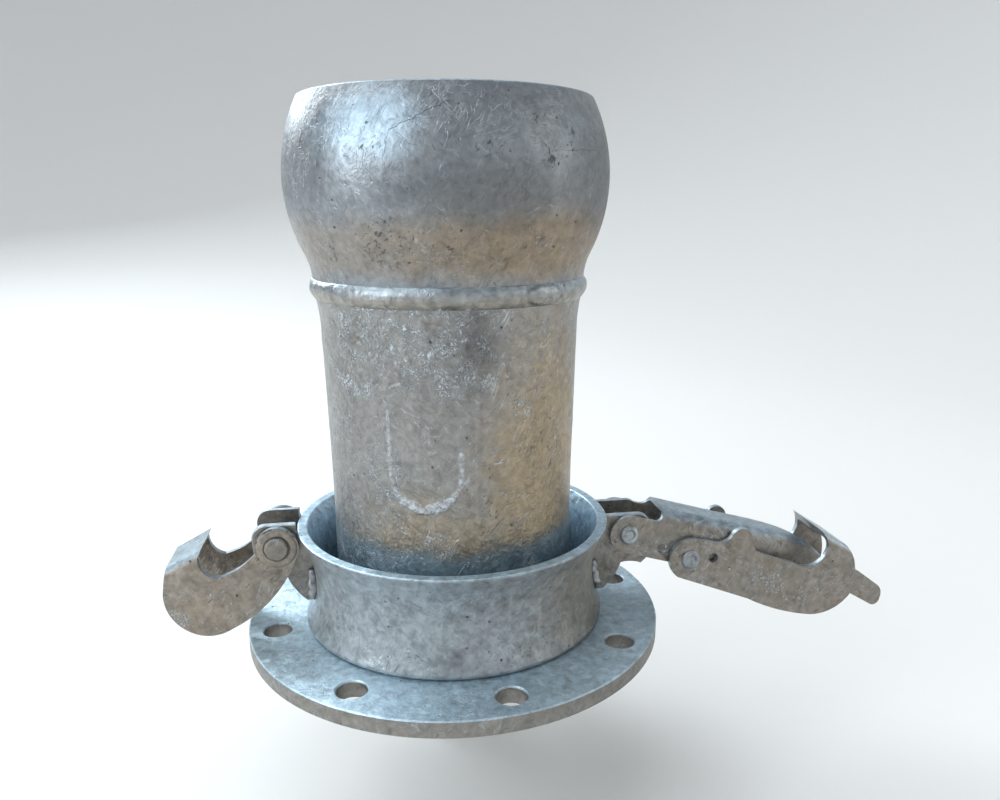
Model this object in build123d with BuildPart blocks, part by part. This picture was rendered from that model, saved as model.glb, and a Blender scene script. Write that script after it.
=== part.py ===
from build123d import *
import math
import os

# Ball half of a spherical lever-lock pipe coupling: flange, pipe, hollow ball, closing ring and latches.
# Millimetres. +Z runs up the pipe, the origin is the centre of the flange's underside, and the two
# pairs of ears stand along X, so every latch pin is parallel to Y.

# ---- flange and pipe ----
flange_radius = 170.0
flange_thickness = 13.5
flange_edge_chamfer = 1.0
bolt_count = 8
bolt_circle_radius = 147.5
bolt_hole_radius = 11.5
bolt_start_angle = -125.4
bolt_hole_chamfer = 0.8

pipe_radius = 96.5
pipe_wall = 4.0
pipe_foot = 4.0
pipe_taper_start = 133.5
pipe_taper_end = 252.0
pipe_taper_radius = 99.2
pipe_top = 282.0
pipe_top_radius = 103.0

flange_weld_leg = 8.5
bore_weld_bottom = 0.8

seam_angle = -84.5
seam_width = 5.0
seam_height = 0.5
seam_bottom = 24.0
seam_top = 250.0

# ---- ball head ----
ball_radius = 121.5
ball_centre_height = 363.9
ball_wall = 6.0
ball_mouth_height = 419.2
ball_lip_fillet = 2.2
neck_radius = 103.6
neck_blend_height = 309.0

neck_weld_bottom = 270.5
neck_weld_crown = 284.0
neck_weld_top = 292.0
neck_weld_radius = 106.5
neck_weld_root = 100.0

# ---- closing ring ----
ring_bottom = 13.9
ring_top = 94.25
ring_top_radius = 128.2
ring_waist_radius = 116.0
ring_waist_height = 55.0
ring_foot_radius = 125.8
ring_wall = 7.6
ring_lip_fillet = 1.2
ring_foot_fillet = 3.2
turning_gap = 0.06

# ---- ears, two plates on each side of the ring ----
ear_thickness = 5.5
ear_centre_y = 17.55
ear_weld_width = 4.6
ear_weld_round = 2.6
left_pin_x = -141.6
left_pin_z = 84.1
lever_pin_x = 145.4
lever_pin_z = 75.4

# ---- left hook ----
left_rivet_radius = 7.0
left_rivet_head_radius = 9.3
left_rivet_head_height = 3.2
left_hook_half_width = 26.8
left_hook_sheet = 4.5

# ---- lever and its hook ----
lever_tilt = 16.0
lever_half_width = 24.4
lever_sheet = 3.7
lever_end_radius = 16.5
lever_crown = 27.0
lever_skirt = -16.0
lever_taper_start = 72.0
lever_nose = 194.0
lever_rivet_radius = 6.0
rivet_ring_radius = 8.2
rivet_ring_height = 1.9
rivet_dimple_radius = 3.6
rivet_dimple_depth = 1.3
safety_hole_radius = 4.2
tongue_thickness = 6.0

hook_pin_along = 57.7
hook_pin_above = -8.2
hook_half_width = 30.0
hook_sheet = 4.5

web_fold_radius = 8.0
running_clearance = 0.08
head_gap = 0.08

os.makedirs("parts", exist_ok=True)


def save(part, label):
    """Label a finished solid and write its STEP file."""
    part.label = label
    export_step(part, f"parts/{label}.step")


def ring_points(outward):
    """Top, waist and foot of the ring's profile arc, moved outwards (or inwards) square to itself."""
    outer = ThreePointArc(
        (ring_top_radius, ring_top),
        (ring_waist_radius, ring_waist_height),
        (ring_foot_radius, ring_bottom),
    )
    centre = outer.arc_center
    radius = outer.radius - outward
    reach_top = math.sqrt(radius**2 - (ring_top - centre.Y) ** 2)
    reach_foot = math.sqrt(radius**2 - (ring_bottom - centre.Y) ** 2)
    return [
        (centre.X - reach_top, ring_top),
        (centre.X - radius, centre.Y),
        (centre.X - reach_foot, ring_bottom),
    ]


def ring_solid(outward, inner_radius):
    """A solid between a plain bore and the ring's profile moved outwards, carried up past the rim."""
    top, waist, foot = ring_points(outward)
    with BuildPart() as solid:
        with BuildSketch(Plane.XZ):
            with BuildLine():
                ThreePointArc(top, waist, foot)
                Polyline(
                    foot,
                    (inner_radius, ring_bottom),
                    (inner_radius, ring_top + 20.0),
                    (top[0], ring_top + 20.0),
                    top,
                )
            make_face()
        revolve(axis=Axis.Z)
    return solid.part


# ================= flange, pipe and ball =================

with BuildPart() as flange_plate:
    with BuildSketch():
        Circle(flange_radius)
        Circle(pipe_radius, mode=Mode.SUBTRACT)
        with PolarLocations(bolt_circle_radius, bolt_count, start_angle=bolt_start_angle):
            Circle(bolt_hole_radius, mode=Mode.SUBTRACT)
    extrude(amount=flange_thickness)
    round_edges = flange_plate.edges().filter_by(GeomType.CIRCLE)
    chamfer(round_edges.filter_by(lambda edge: edge.radius == flange_radius), flange_edge_chamfer)
    hole_edges = flange_plate.edges().filter_by(GeomType.CIRCLE)
    hole_edges = hole_edges.filter_by(lambda edge: abs(edge.radius - bolt_hole_radius) < 0.01)
    chamfer(hole_edges.group_by(Axis.Z)[-1], bolt_hole_chamfer)
save(flange_plate.part, "flange_plate")

with BuildPart() as pipe_stub:
    with BuildSketch(Plane.XZ):
        with BuildLine():
            Polyline(
                (pipe_radius, pipe_foot),
                (pipe_radius, pipe_taper_start),
                (pipe_taper_radius, pipe_taper_end),
            )
            ThreePointArc(
                (pipe_taper_radius, pipe_taper_end),
                (pipe_taper_radius + 1.2, 267.0),
                (pipe_top_radius, pipe_top),
            )
            Line((pipe_top_radius, pipe_top), (pipe_top_radius - pipe_wall, pipe_top))
            ThreePointArc(
                (pipe_top_radius - pipe_wall, pipe_top),
                (pipe_taper_radius - pipe_wall + 1.2, 267.0),
                (pipe_taper_radius - pipe_wall, pipe_taper_end),
            )
            Polyline(
                (pipe_taper_radius - pipe_wall, pipe_taper_end),
                (pipe_radius - pipe_wall, pipe_taper_start),
                (pipe_radius - pipe_wall, pipe_foot),
                (pipe_radius, pipe_foot),
            )
        make_face()
    revolve(axis=Axis.Z)
save(pipe_stub.part, "pipe_stub")

with BuildPart() as flange_top_weld:
    weld_tip = (pipe_radius + flange_weld_leg, flange_thickness)
    weld_toe = (pipe_radius, flange_thickness + flange_weld_leg)
    with BuildSketch(Plane.XZ):
        with BuildLine():
            Polyline(weld_toe, (pipe_radius, flange_thickness), weld_tip)
            RadiusArc(weld_tip, weld_toe, -1.6 * flange_weld_leg)
        make_face()
    revolve(axis=Axis.Z)
save(flange_top_weld.part, "flange_top_weld")

with BuildPart() as flange_bore_weld:
    with BuildSketch(Plane.XZ):
        with BuildLine():
            Polyline(
                (pipe_radius, bore_weld_bottom),
                (pipe_radius, pipe_foot),
                (pipe_radius - pipe_wall, pipe_foot),
            )
            RadiusArc((pipe_radius - pipe_wall, pipe_foot), (pipe_radius, bore_weld_bottom), -6.0)
        make_face()
    revolve(axis=Axis.Z)
save(flange_bore_weld.part, "flange_bore_weld")

with BuildPart() as pipe_seam_weld:
    crown_radius = (seam_width**2 / 4 + seam_height**2) / (2 * seam_height)
    crown_distance = pipe_radius + seam_height - crown_radius
    widening = (pipe_taper_radius - pipe_radius) / (pipe_taper_end - pipe_taper_start)
    seam_direction = (
        widening * math.cos(math.radians(seam_angle)),
        widening * math.sin(math.radians(seam_angle)),
        1.0,
    )
    for start, finish, direction in (
        (seam_bottom, pipe_taper_start, (0.0, 0.0, 1.0)),
        (pipe_taper_start, seam_top, seam_direction),
    ):
        with BuildSketch(Plane.XY.offset(start)):
            with PolarLocations(crown_distance, 1, start_angle=seam_angle):
                Circle(crown_radius)
            Circle(pipe_radius - 0.2, mode=Mode.SUBTRACT)
        extrude(amount=finish - start, dir=direction)
    add(pipe_stub.part, mode=Mode.SUBTRACT)
save(pipe_seam_weld.part, "pipe_seam_weld")

with BuildPart() as ball_head:
    blend_drop = ball_centre_height - neck_blend_height
    blend_radius_at_ball = math.sqrt(ball_radius**2 - blend_drop**2)
    blend_angle = math.atan2(blend_drop, blend_radius_at_ball)
    blend_rise = (blend_radius_at_ball - neck_radius) / math.tan(blend_angle / 2)
    blend_arc_radius = blend_rise / math.sin(blend_angle)
    mouth_rise = ball_mouth_height - ball_centre_height
    mouth_outer = math.sqrt(ball_radius**2 - mouth_rise**2)
    bore_radius = ball_radius - ball_wall
    mouth_inner = math.sqrt(bore_radius**2 - mouth_rise**2)
    blend_inner = math.sqrt(bore_radius**2 - blend_drop**2)
    with BuildSketch(Plane.XZ):
        with BuildLine():
            Line((neck_radius, pipe_top), (neck_radius, neck_blend_height - blend_rise))
            JernArc(
                (neck_radius, neck_blend_height - blend_rise),
                (0.0, 1.0),
                blend_arc_radius,
                -math.degrees(blend_angle),
            )
            ThreePointArc(
                (blend_radius_at_ball, neck_blend_height),
                (ball_radius, ball_centre_height),
                (mouth_outer, ball_mouth_height),
            )
            Line((mouth_outer, ball_mouth_height), (mouth_inner, ball_mouth_height))
            ThreePointArc(
                (mouth_inner, ball_mouth_height),
                (bore_radius, ball_centre_height),
                (blend_inner, neck_blend_height),
            )
            Polyline(
                (blend_inner, neck_blend_height),
                (pipe_top_radius - pipe_wall, neck_weld_top),
                (pipe_top_radius - pipe_wall, pipe_top),
                (neck_radius, pipe_top),
            )
        make_face()
    revolve(axis=Axis.Z)
    fillet(ball_head.edges().group_by(Axis.Z)[-1], ball_lip_fillet)
save(ball_head.part, "ball_head")

with BuildPart() as neck_weld:
    with BuildSketch(Plane.XZ):
        with BuildLine():
            ThreePointArc(
                (pipe_taper_radius + 1.6, neck_weld_bottom),
                (neck_weld_radius, neck_weld_crown),
                (neck_radius, neck_weld_top),
            )
            Polyline(
                (neck_radius, neck_weld_top),
                (neck_weld_root, neck_weld_top),
                (neck_weld_root, neck_weld_bottom),
                (pipe_taper_radius + 1.6, neck_weld_bottom),
            )
        make_face()
    revolve(axis=Axis.Z)
    add(pipe_stub.part, mode=Mode.SUBTRACT)
    add(ball_head.part, mode=Mode.SUBTRACT)
    outer_bead = neck_weld.solids().sort_by(SortBy.VOLUME)[-1]
save(outer_bead, "neck_weld")

# ================= closing ring =================

with BuildPart() as ring_band:
    with BuildSketch(Plane.XZ):
        with BuildLine():
            outside = ThreePointArc(*ring_points(0.0))
            inside = ThreePointArc(*ring_points(-ring_wall))
            Line(outside @ 0, inside @ 0)
            Line(outside @ 1, inside @ 1)
        make_face()
    revolve(axis=Axis.Z)
    fillet(ring_band.edges().group_by(Axis.Z)[-1], ring_lip_fillet)
    fillet(ring_band.edges().group_by(Axis.Z)[0], ring_foot_fillet)
save(ring_band.part, "collar_band")

# ================= ears and their welds =================

ring_clearance = ring_solid(turning_gap, 20.0)
weld_shell = ring_solid(ear_weld_width, 60.0)

ears = {
    "left": (-1, left_pin_x, left_pin_z, left_rivet_radius),
    "right": (1, lever_pin_x, lever_pin_z, lever_rivet_radius),
}
rows = {"front": -1, "rear": 1}

for side_name, (side, pin_x, pin_z, hole_radius) in ears.items():

    def from_pin(out, up):
        """A point given as outward and upward distances from this side's pin."""
        return (pin_x + side * out, pin_z + up)

    for row_name, row in rows.items():
        with BuildPart() as ear_plate:
            with BuildSketch(Plane.XZ.offset(-row * ear_centre_y)):
                with BuildLine():
                    Polyline(
                        from_pin(-36.0, -48.5),
                        from_pin(-36.0, 16.9),
                        from_pin(8.5, 16.9),
                    )
                    ThreePointArc(from_pin(8.5, 16.9), from_pin(16.3, 13.7), from_pin(19.5, 5.9))
                    Polyline(from_pin(19.5, 5.9), from_pin(17.2, -23.0), from_pin(12.0, -27.6))
                    ThreePointArc(from_pin(12.0, -27.6), from_pin(3.0, -25.4), from_pin(-5.6, -26.0))
                    ThreePointArc(from_pin(-5.6, -26.0), from_pin(-9.6, -35.0), from_pin(-20.5, -48.5))
                    Line(from_pin(-20.5, -48.5), from_pin(-36.0, -48.5))
                make_face()
                with Locations(from_pin(0.0, 0.0)):
                    Circle(hole_radius, mode=Mode.SUBTRACT)
            extrude(amount=ear_thickness / 2, both=True)
            add(ring_clearance, mode=Mode.SUBTRACT)
            outside = ear_plate.faces().sort_by(Axis.Y)[0 if row < 0 else -1]
            rim_edges = outside.edges().filter_by(GeomType.CIRCLE)
            rim_edges = rim_edges.filter_by(lambda edge: abs(edge.radius - hole_radius) > 0.01)
            chamfer(rim_edges.filter_by_position(Axis.Z, pin_z, pin_z + 20.0), 0.8)
        save(ear_plate.part, f"{side_name}_ear_{row_name}")

        with BuildPart() as ear_weld:
            weld_low = pin_z - 47.0
            weld_high = pin_z - 21.0
            weld_y = row * (ear_centre_y + (ear_thickness + ear_weld_width) / 2)
            with Locations((side * 120.0, weld_y, (weld_low + weld_high) / 2)):
                Box(60.0, ear_weld_width, weld_high - weld_low)
            add(weld_shell, mode=Mode.INTERSECT)
            add(ring_clearance, mode=Mode.SUBTRACT)
            far_face = ear_weld.faces().sort_by(Axis.Y)[0 if row < 0 else -1]
            crest = far_face.edges().sort_by(SortBy.LENGTH)[-2:].sort_by(Axis.X)[0 if side < 0 else -1]
            fillet(crest, ear_weld_round)
        save(ear_weld.part, f"{side_name}_ear_{row_name}_weld")

# ================= left hook =================

left_pin = Axis((left_pin_x, 0.0, left_pin_z), (0.0, 1.0, 0.0))


def rivet_plane(pin_x, pin_z):
    """A level plane through a pin, its local Y running along the pin."""
    return Plane(origin=(pin_x, 0.0, pin_z), x_dir=(1.0, 0.0, 0.0), z_dir=(0.0, 0.0, 1.0))


with BuildPart() as left_hook:
    left_plane = Plane(origin=(left_pin_x, 0.0, left_pin_z), x_dir=(1, 0, 0), z_dir=(0, -1, 0))
    lip = (-57.0, 2.6)
    nose = (-85.0, -12.4)
    with BuildSketch(left_plane):
        with BuildLine():
            ThreePointArc((-16.4, -3.4), (-31.0, -15.4), (-47.8, -22.0))
            ThreePointArc((-47.8, -22.0), (-56.6, -16.4), (-60.2, -4.6))
            Polyline((-60.2, -4.6), lip, nose, (-87.4, -28.0))
            ThreePointArc((-87.4, -28.0), (-82.8, -53.6), (-63.0, -69.2))
            ThreePointArc((-63.0, -69.2), (-51.2, -70.2), (-39.2, -66.2))
            ThreePointArc((-39.2, -66.2), (-8.6, -44.8), (14.4, -8.7))
            ThreePointArc((14.4, -8.7), (8.4, 14.55), (-16.4, -3.4))
        make_face()
        Circle(left_rivet_radius + running_clearance, mode=Mode.SUBTRACT)
    extrude(amount=left_hook_half_width, both=True)
    web_slope = math.degrees(math.atan2(lip[1] - nose[1], lip[0] - nose[0]))
    web_top = left_hook.faces().filter_by(lambda face: face.normal_at().Z > 0.8).sort_by(Axis.X)[0]
    fold_edges = web_top.edges().filter_by(lambda edge: abs(edge.tangent_at(0.5).Y) < 0.01)
    fillet(fold_edges, web_fold_radius)
    web_frame = Plane(left_plane.from_local_coords((nose[0], nose[1], 0.0)), x_dir=(0, 1, 0),
                      z_dir=(math.cos(math.radians(web_slope)), 0, math.sin(math.radians(web_slope))))
    inner_half = left_hook_half_width - left_hook_sheet
    with BuildSketch(web_frame):
        with Locations((0.0, -left_hook_sheet - 150.0)):
            RectangleRounded(2 * inner_half, 300.0, web_fold_radius - left_hook_sheet)
    extrude(amount=260.0, both=True, mode=Mode.SUBTRACT)
save(left_hook.part, "left_hook")

with BuildPart() as left_hook_rivet:
    grip = left_hook_half_width + head_gap
    end = grip + left_rivet_head_height
    with BuildSketch(rivet_plane(left_pin_x, left_pin_z)):
        with BuildLine():
            Polyline((0.0, end), (left_rivet_head_radius - 1.8, end))
            ThreePointArc(
                (left_rivet_head_radius - 1.8, end),
                (left_rivet_head_radius - 0.5, end - 0.6),
                (left_rivet_head_radius, end - 2.0),
            )
            Polyline(
                (left_rivet_head_radius, end - 2.0),
                (left_rivet_head_radius, grip),
                (left_rivet_radius, grip),
                (left_rivet_radius, 0.0),
                (0.0, 0.0),
                (0.0, end),
            )
        make_face()
        mirror(about=Plane.XZ)
    revolve(axis=left_pin)
save(left_hook_rivet.part, "left_hook_rivet")

# ================= lever =================

lever_cos = math.cos(math.radians(lever_tilt))
lever_sin = math.sin(math.radians(lever_tilt))
lever_plane = Plane(
    origin=(lever_pin_x, 0.0, lever_pin_z), x_dir=(lever_cos, 0, -lever_sin), z_dir=(0, -1, 0)
)
hook_pin_x = lever_pin_x + hook_pin_along * lever_cos + hook_pin_above * lever_sin
hook_pin_z = lever_pin_z - hook_pin_along * lever_sin + hook_pin_above * lever_cos


def lever_station(along):
    """A cross-section plane of the lever at a distance from its pin, local Y upwards."""
    origin = lever_plane.from_local_coords((along, 0.0, 0.0))
    return Plane(origin=origin, x_dir=(0, 1, 0), z_dir=(lever_cos, 0, -lever_sin))


def lever_section(along, half_width, top, bottom, corner):
    """One arched cross-section of the lever: square at the bottom, rounded over the top."""
    with BuildSketch(lever_station(along)) as section:
        with BuildLine():
            Polyline((half_width, top - corner), (half_width, bottom), (-half_width, bottom),
                     (-half_width, top - corner))
            RadiusArc((-half_width, top - corner), (corner - half_width, top), corner)
            Line((corner - half_width, top), (half_width - corner, top))
            RadiusArc((half_width - corner, top), (half_width, top - corner), corner)
        make_face()
    return section.sketch.faces()[0]


def lever_shape(along, skin):
    """Half width, top, bottom and crown rounding of the tapering lever, drawn in by a skin thickness."""
    share = max(0.0, (along - lever_taper_start) / (lever_nose - lever_taper_start))
    half_width = lever_half_width * (1.0 - 0.86 * share**2.2) - skin
    top = lever_crown + 9.0 * share**2 - 24.0 * share**4 - skin
    if skin:
        return half_width, top, -60.0, 0.45 * half_width
    return half_width, top, lever_skirt + 10.0 * share**3, 0.58 * half_width


taper_stations = [lever_taper_start + share * (lever_nose - lever_taper_start)
                  for share in (0.0, 0.14, 0.28, 0.42, 0.56, 0.7, 0.8, 0.9, 1.0)]
hollow_stations = taper_stations[:-1]

with BuildPart() as lever_handle:
    straight = lever_taper_start + 20.0
    extrude(lever_section(-20.0, *lever_shape(-20.0, 0.0)), amount=straight)
    loft([lever_section(along, *lever_shape(along, 0.0)) for along in taper_stations])
    extrude(lever_section(-20.0, *lever_shape(-20.0, lever_sheet)), amount=straight, mode=Mode.SUBTRACT)
    loft([lever_section(along, *lever_shape(along, lever_sheet)) for along in hollow_stations],
         mode=Mode.SUBTRACT)
    with BuildSketch(lever_plane):
        with BuildLine():
            ThreePointArc((0.0, -lever_end_radius), (-lever_end_radius, 0.0), (0.0, lever_end_radius))
            Line((0.0, lever_end_radius), (18.5, lever_end_radius))
            ThreePointArc((18.5, lever_end_radius), (23.2, 18.5), (25.0, 23.0))
            Polyline((25.0, 23.0), (25.0, 60.0), (260.0, 60.0), (260.0, -lever_end_radius),
                     (0.0, -lever_end_radius))
        make_face()
        Circle(lever_rivet_radius + running_clearance, mode=Mode.SUBTRACT)
        with Locations((31.8, -5.4)):
            Circle(safety_hole_radius, mode=Mode.SUBTRACT)
        with Locations((hook_pin_along, hook_pin_above)):
            Circle(lever_rivet_radius, mode=Mode.SUBTRACT)
    extrude(amount=60.0, both=True, mode=Mode.INTERSECT)
    with BuildSketch(lever_plane):
        with BuildLine():
            Polyline((176.0, 12.0), (236.0, 5.6), (261.0, -3.8))
            ThreePointArc((261.0, -3.8), (265.9, -8.4), (267.6, -15.4))
            ThreePointArc((267.6, -15.4), (266.2, -21.4), (260.4, -23.4))
            Polyline((260.4, -23.4), (238.0, -17.6), (176.0, -8.5), (176.0, 12.0))
        make_face()
    extrude(amount=tongue_thickness / 2, both=True)
save(lever_handle.part, "lever_handle")


def save_ringed_rivet(pin_x, pin_z, half_width, label):
    """Build and save a through rivet whose ends are upset into low rings with a dimple."""
    grip = half_width + head_gap
    end = grip + rivet_ring_height
    ring_middle = (rivet_ring_radius + rivet_dimple_radius) / 2
    with BuildPart() as rivet:
        with BuildSketch(rivet_plane(pin_x, pin_z)):
            with BuildLine():
                Line((0.0, end - rivet_dimple_depth), (rivet_dimple_radius, end - rivet_dimple_depth))
                ThreePointArc(
                    (rivet_dimple_radius, end - rivet_dimple_depth),
                    (ring_middle, end),
                    (rivet_ring_radius, grip + 0.5),
                )
                Polyline(
                    (rivet_ring_radius, grip + 0.5),
                    (rivet_ring_radius, grip),
                    (lever_rivet_radius, grip),
                    (lever_rivet_radius, 0.0),
                    (0.0, 0.0),
                    (0.0, end - rivet_dimple_depth),
                )
            make_face()
            mirror(about=Plane.XZ)
        revolve(axis=Axis((pin_x, 0.0, pin_z), (0.0, 1.0, 0.0)))
    save(rivet.part, label)


save_ringed_rivet(lever_pin_x, lever_pin_z, lever_half_width, "lever_rivet")
save_ringed_rivet(hook_pin_x, hook_pin_z, hook_half_width, "lever_hook_rivet")

# ================= hook carried by the lever =================

with BuildPart() as lever_hook:
    hook_plane = Plane(origin=(hook_pin_x, 0.0, hook_pin_z), x_dir=(1, 0, 0), z_dir=(0, -1, 0))
    lip = (117.6, 19.0)
    nose = (146.8, 0.8)
    with BuildSketch(hook_plane):
        with BuildLine():
            ThreePointArc((-10.8, -15.2), (-13.8, 12.5), (4.0, 18.2))
            Line((4.0, 18.2), (23.0, 14.0))
            ThreePointArc((23.0, 14.0), (30.6, 14.6), (36.4, 19.0))
            ThreePointArc((36.4, 19.0), (46.6, 25.0), (54.2, 17.0))
            Line((54.2, 17.0), (57.4, 7.0))
            ThreePointArc((57.4, 7.0), (59.2, 3.8), (63.0, 1.6))
            ThreePointArc((63.0, 1.6), (79.0, -4.9), (96.0, -10.2))
            ThreePointArc((96.0, -10.2), (119.6, -9.8), (126.2, 2.0))
            ThreePointArc((126.2, 2.0), (124.2, 11.4), lip)
            Line(lip, nose)
            ThreePointArc(nose, (153.6, -20.0), (150.6, -44.0))
            ThreePointArc((150.6, -44.0), (136.0, -56.4), (113.0, -60.4))
            ThreePointArc((113.0, -60.4), (84.0, -53.4), (54.0, -40.3))
            Line((54.0, -40.3), (-10.8, -15.2))
        make_face()
        Circle(lever_rivet_radius + running_clearance, mode=Mode.SUBTRACT)
        with Locations((20.2, 0.3)):
            Circle(safety_hole_radius, mode=Mode.SUBTRACT)
    extrude(amount=hook_half_width, both=True)
    web_top = lever_hook.faces().filter_by(lambda face: face.normal_at().Z > 0.7).sort_by(Axis.X)[-1]
    fold_edges = web_top.edges().filter_by(lambda edge: abs(edge.tangent_at(0.5).Y) < 0.01)
    fillet(fold_edges, web_fold_radius)
    web_slope = math.atan2(nose[1] - lip[1], nose[0] - lip[0])
    web_frame = Plane(hook_plane.from_local_coords((nose[0], nose[1], 0.0)), x_dir=(0, 1, 0),
                      z_dir=(math.cos(web_slope), 0, math.sin(web_slope)))
    inner_half = hook_half_width - hook_sheet
    with BuildSketch(web_frame):
        with Locations((0.0, -hook_sheet - 150.0)):
            RectangleRounded(2 * inner_half, 300.0, web_fold_radius - hook_sheet)
    extrude(amount=260.0, both=True, mode=Mode.SUBTRACT)
save(lever_hook.part, "lever_hook")
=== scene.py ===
"""Looks of a flanged ball coupling half in hot-dip galvanised steel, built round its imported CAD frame."""

import logging
import math
import random
from collections.abc import Callable, Sequence
from dataclasses import dataclass, field
from enum import Enum
from functools import reduce

import bmesh
import bpy
from mathutils import Matrix, Vector, noise
from mathutils.bvhtree import BVHTree


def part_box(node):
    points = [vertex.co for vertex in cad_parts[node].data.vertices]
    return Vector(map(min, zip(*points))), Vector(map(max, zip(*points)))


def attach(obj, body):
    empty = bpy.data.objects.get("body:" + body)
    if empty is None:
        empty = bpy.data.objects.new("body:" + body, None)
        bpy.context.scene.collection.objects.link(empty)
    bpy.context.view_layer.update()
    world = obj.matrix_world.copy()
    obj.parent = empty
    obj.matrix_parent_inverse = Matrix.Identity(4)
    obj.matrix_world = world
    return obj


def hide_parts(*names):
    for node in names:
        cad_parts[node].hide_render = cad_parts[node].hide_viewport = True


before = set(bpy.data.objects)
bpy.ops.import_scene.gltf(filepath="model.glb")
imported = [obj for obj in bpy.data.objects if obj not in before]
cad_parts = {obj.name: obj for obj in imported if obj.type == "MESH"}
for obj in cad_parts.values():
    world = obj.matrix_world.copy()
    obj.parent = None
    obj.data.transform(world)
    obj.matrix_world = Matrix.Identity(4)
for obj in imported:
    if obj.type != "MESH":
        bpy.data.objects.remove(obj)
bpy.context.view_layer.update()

log = logging.getLogger("coupling")

Colour = tuple[float, float, float]
Triple = tuple[float, float, float]
Number = "Value | float"
MM = 0.001
MERGE_DISTANCE = 1e-6
UPWARD: Triple = (0.0, 0.0, 1.0)
ORIGIN: Triple = (0.0, 0.0, 0.0)
EVEN: Triple = (1.0, 1.0, 1.0)


class Slot(Enum):
    """The record's material slots; the new pieces in this script don't use them."""

    FLANGE = "flange_zinc"
    WELD = "weld_zinc"
    PIPE = "pipe_zinc"
    BALL = "ball_zinc"
    HOOK = "hook_zinc"


class Body(Enum):
    """The CAD bodies that the new pieces ride on."""

    BASE = "base"
    CARRIER = "latch_carrier"
    PLAIN_HOOK = "plain_hook"
    PULL_HOOK = "pull_hook"


# ---------------------------------------------------------------- shader maths


def math_method(operation: str, swapped: bool = False) -> "Callable[..., Value]":
    """Make a method of Value that adds one Math node.

    Args:
        operation: The Math node's operation.
        swapped: Whether the other number comes first.

    Returns:
        The method.
    """

    def method(value: "Value", other: Number = 0.0) -> "Value":
        """Work on this value and, where the operation takes two, on another."""
        first, second = (other, value) if swapped else (value, other)
        node = value.graph.node("ShaderNodeMath", {"operation": operation}, {0: first, 1: second})
        return Value(value.graph, node.outputs[0])

    return method


class Value:
    """A number inside a material, so that shader maths reads as arithmetic."""

    def __init__(self, graph: "Graph", socket: bpy.types.NodeSocket) -> None:
        """Wrap a socket of a graph."""
        self.graph = graph
        self.socket = socket

    __add__ = __radd__ = math_method("ADD")
    __sub__ = math_method("SUBTRACT")
    __rsub__ = math_method("SUBTRACT", swapped=True)
    __mul__ = __rmul__ = math_method("MULTIPLY")
    __truediv__ = math_method("DIVIDE")
    __abs__ = math_method("ABSOLUTE")
    root = math_method("SQRT")
    larger = math_method("MAXIMUM")
    arctangent = math_method("ARCTAN2")

    def angle_from(self, other: "Value") -> "Value":
        """Angle in degrees whose sine side is this value and whose cosine side is the other."""
        return self.arctangent(other) * math.degrees(1.0)

    def smooth(self, low: float, high: float) -> "Value":
        """A soft step that is 0 at low and 1 at high, in either order.

        Args:
            low: Where the result is 0.
            high: Where the result is 1.

        Returns:
            The step.
        """
        rising = high > low
        start, end = (low, high) if rising else (high, low)
        node = self.graph.node("ShaderNodeMapRange", {"interpolation_type": "SMOOTHSTEP"},
                               {"Value": self, "From Min": start, "From Max": end})
        step = Value(self.graph, node.outputs[0])
        return step if rising else 1.0 - step


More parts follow.
